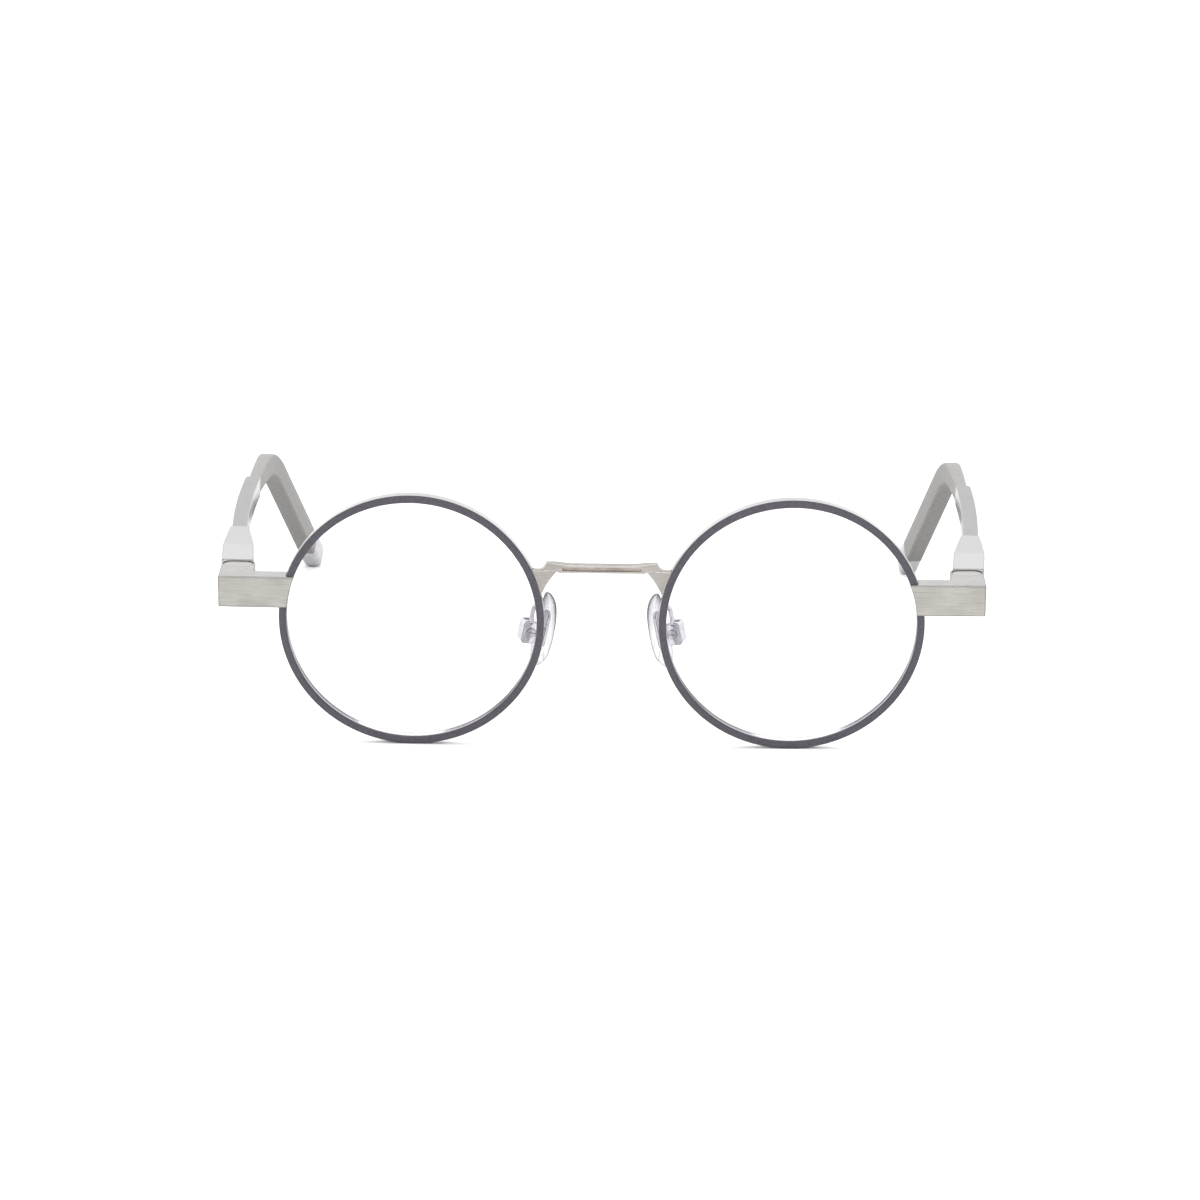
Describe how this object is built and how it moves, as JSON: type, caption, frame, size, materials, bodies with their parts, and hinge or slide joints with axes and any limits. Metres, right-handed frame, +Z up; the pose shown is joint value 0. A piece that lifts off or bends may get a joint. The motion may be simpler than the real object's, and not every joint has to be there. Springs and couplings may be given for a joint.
{
  "type": "eyeglasses",
  "caption": "Round wire eyeglasses with dark-banded rims, a straight nose bridge, block end pieces, folding temples and rocking nose pads.",
  "frame": {"origin": "middle of the whole, from side to side and from front to back, on the surface that the rims and the temple ends stand on", "axes": "+Z up, the front looks along -Y, the temples run back along +Y, +X to the right as seen from the front"},
  "size_m": [0.1404, 0.1449, 0.0474],
  "materials": {
    "bridge_metal": "satin, warm nickel tone",
    "rim_metal": "satin silver",
    "band_lacquer": "matte dark grey lacquer",
    "lens_glass": "clear, anti-reflection coated with a faint violet reflex",
    "end_metal": "brushed along its length, warm silver",
    "block_metal": "fine satin silver",
    "cap_metal": "satin, slightly warmer than the end piece",
    "screw_steel": "bright steel",
    "washer_nylon": "white nylon",
    "pad_metal": "polished",
    "pad_silicone": "clear soft silicone",
    "core_wire": "plain drawn wire",
    "sleeve_metal": "satin grey outside, polished inner side",
    "tip_acetate": "grey cellulose acetate, satin",
    "end_cap_rubber": "light grey, soft"
  },
  "bodies": {
    "front": {"bridge": "bridge_metal", "rim_left": "rim_metal", "rim_right": "rim_metal", "rim_band_left": "band_lacquer", "rim_band_right": "band_lacquer", "lens_left": "lens_glass", "lens_right": "lens_glass", "end_piece_left": "end_metal", "end_piece_right": "end_metal", "rim_lock_screw_left": "screw_steel", "rim_lock_screw_right": "screw_steel", "hinge_cap_left": "cap_metal", "hinge_cap_right": "cap_metal", "hinge_screw_left": "screw_steel", "hinge_screw_right": "screw_steel", "hinge_washers_left": "washer_nylon", "hinge_washers_right": "washer_nylon", "pad_arm_left": "pad_metal", "pad_arm_right": "pad_metal", "pad_box_left": "pad_metal", "pad_box_right": "pad_metal", "pad_screw_left": "screw_steel", "pad_screw_right": "screw_steel"},
    "temple_left": {"hinge_block_left": "block_metal", "temple_core_left": "core_wire", "temple_arm_left": "sleeve_metal", "temple_tip_left": "tip_acetate", "tip_cap_left": "end_cap_rubber"},
    "temple_right": {"hinge_block_right": "block_metal", "temple_core_right": "core_wire", "temple_arm_right": "sleeve_metal", "temple_tip_right": "tip_acetate", "tip_cap_right": "end_cap_rubber"},
    "nose_pad_left": {"nose_pad_left": "pad_silicone", "pad_core_left": "pad_metal"},
    "nose_pad_right": {"nose_pad_right": "pad_silicone", "pad_core_right": "pad_metal"}
  },
  "joints": [
    {"name": "temple_left_fold", "type": "hinge", "parent": "front", "child": "temple_left", "pos_m": [-0.06405, -0.06319, 0.02952], "axis": [0, 0.1305, -0.9914], "range_deg": [0, 88]},
    {"name": "temple_right_fold", "type": "hinge", "parent": "front", "child": "temple_right", "pos_m": [0.06405, -0.06319, 0.02952], "axis": [0, -0.1305, 0.9914], "range_deg": [0, 80]},
    {"name": "nose_pad_left_rock", "type": "hinge", "parent": "front", "child": "nose_pad_left", "pos_m": [-0.01317, -0.06335, 0.0207], "axis": [-0.3206, 0.9391, 0.1236], "range_deg": [-8, 8]},
    {"name": "nose_pad_right_rock", "type": "hinge", "parent": "front", "child": "nose_pad_right", "pos_m": [0.01317, -0.06335, 0.0207], "axis": [0.3206, 0.9391, 0.1236], "range_deg": [-8, 8]}
  ]
}
